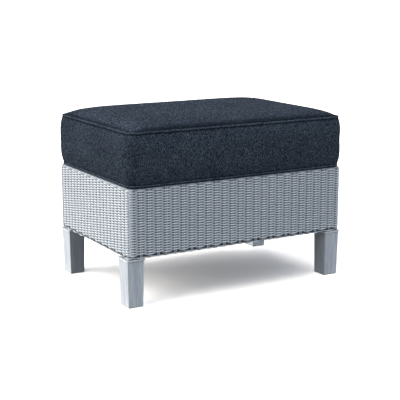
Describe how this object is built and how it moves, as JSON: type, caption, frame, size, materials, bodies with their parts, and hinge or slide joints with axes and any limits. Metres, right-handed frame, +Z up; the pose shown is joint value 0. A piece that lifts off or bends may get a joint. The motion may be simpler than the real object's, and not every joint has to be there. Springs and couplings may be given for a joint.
{
  "type": "outdoor ottoman footstool",
  "caption": "Footstool with a woven box body on tapered square legs and a loose boxed cushion with a zipped cover that lifts off a slatted deck.",
  "frame": {"origin": "on the floor, under the middle of the footstool", "axes": "+X to the right along the long front, +Y to the back where the zip is, +Z up"},
  "size_m": [0.6964, 0.4787, 0.4902],
  "materials": {
    "leg": "matte",
    "glide": "matte",
    "weave": "satin",
    "frame": "satin",
    "screw": "satin",
    "foam": "matte",
    "cover": "matte",
    "zip": "satin",
    "zip_metal": "satin"
  },
  "bodies": {
    "frame": {"leg_front_left": "leg", "glide_front_left": "glide", "leg_binding_front_left": "weave", "corner_post_front_left": "frame", "leg_screw_front_left": "screw", "corner_gusset_front_left": "frame", "leg_front_right": "leg", "glide_front_right": "glide", "leg_binding_front_right": "weave", "corner_post_front_right": "frame", "leg_screw_front_right": "screw", "corner_gusset_front_right": "frame", "leg_rear_left": "leg", "glide_rear_left": "glide", "leg_binding_rear_left": "weave", "corner_post_rear_left": "frame", "leg_screw_rear_left": "screw", "corner_gusset_rear_left": "frame", "leg_rear_right": "leg", "glide_rear_right": "glide", "leg_binding_rear_right": "weave", "corner_post_rear_right": "frame", "leg_screw_rear_right": "screw", "corner_gusset_rear_right": "frame", "top_rail_front": "frame", "top_rail_rear": "frame", "top_rail_left": "frame", "top_rail_right": "frame", "bottom_rail_front": "frame", "bottom_rail_rear": "frame", "bottom_rail_left": "frame", "bottom_rail_right": "frame", "woven_side_front": "weave", "woven_side_rear": "weave", "woven_side_left": "weave", "woven_side_right": "weave", "deck_slat_1": "frame", "deck_slat_2": "frame", "deck_slat_3": "frame", "deck_slat_4": "frame", "deck_slat_5": "frame", "deck_slat_6": "frame"},
    "cushion": {"cushion_foam": "foam", "cushion_top_panel": "cover", "cushion_bottom_panel": "cover", "cushion_boxing": "cover", "zip_strip_lower": "cover", "zip_strip_upper": "cover", "welt_bottom": "cover", "welt_top": "cover", "zip_chain": "zip"},
    "zip_slider": {"zip_slider": "zip_metal"},
    "zip_pull": {"zip_pull": "zip_metal"}
  },
  "joints": [
    {"name": "cushion_lift", "type": "slide", "parent": "frame", "child": "cushion", "axis": [0, 0, 1], "range_m": [0, 0.2]},
    {"name": "zip_run", "type": "slide", "parent": "cushion", "child": "zip_slider", "axis": [1, 0, 0], "range_m": [0, 0.5666]},
    {"name": "zip_pull_swing", "type": "hinge", "parent": "zip_slider", "child": "zip_pull", "pos_m": [-0.2833, 0.2409, 0.39845], "axis": [0, 0, -1], "range_deg": [0, 180]}
  ]
}
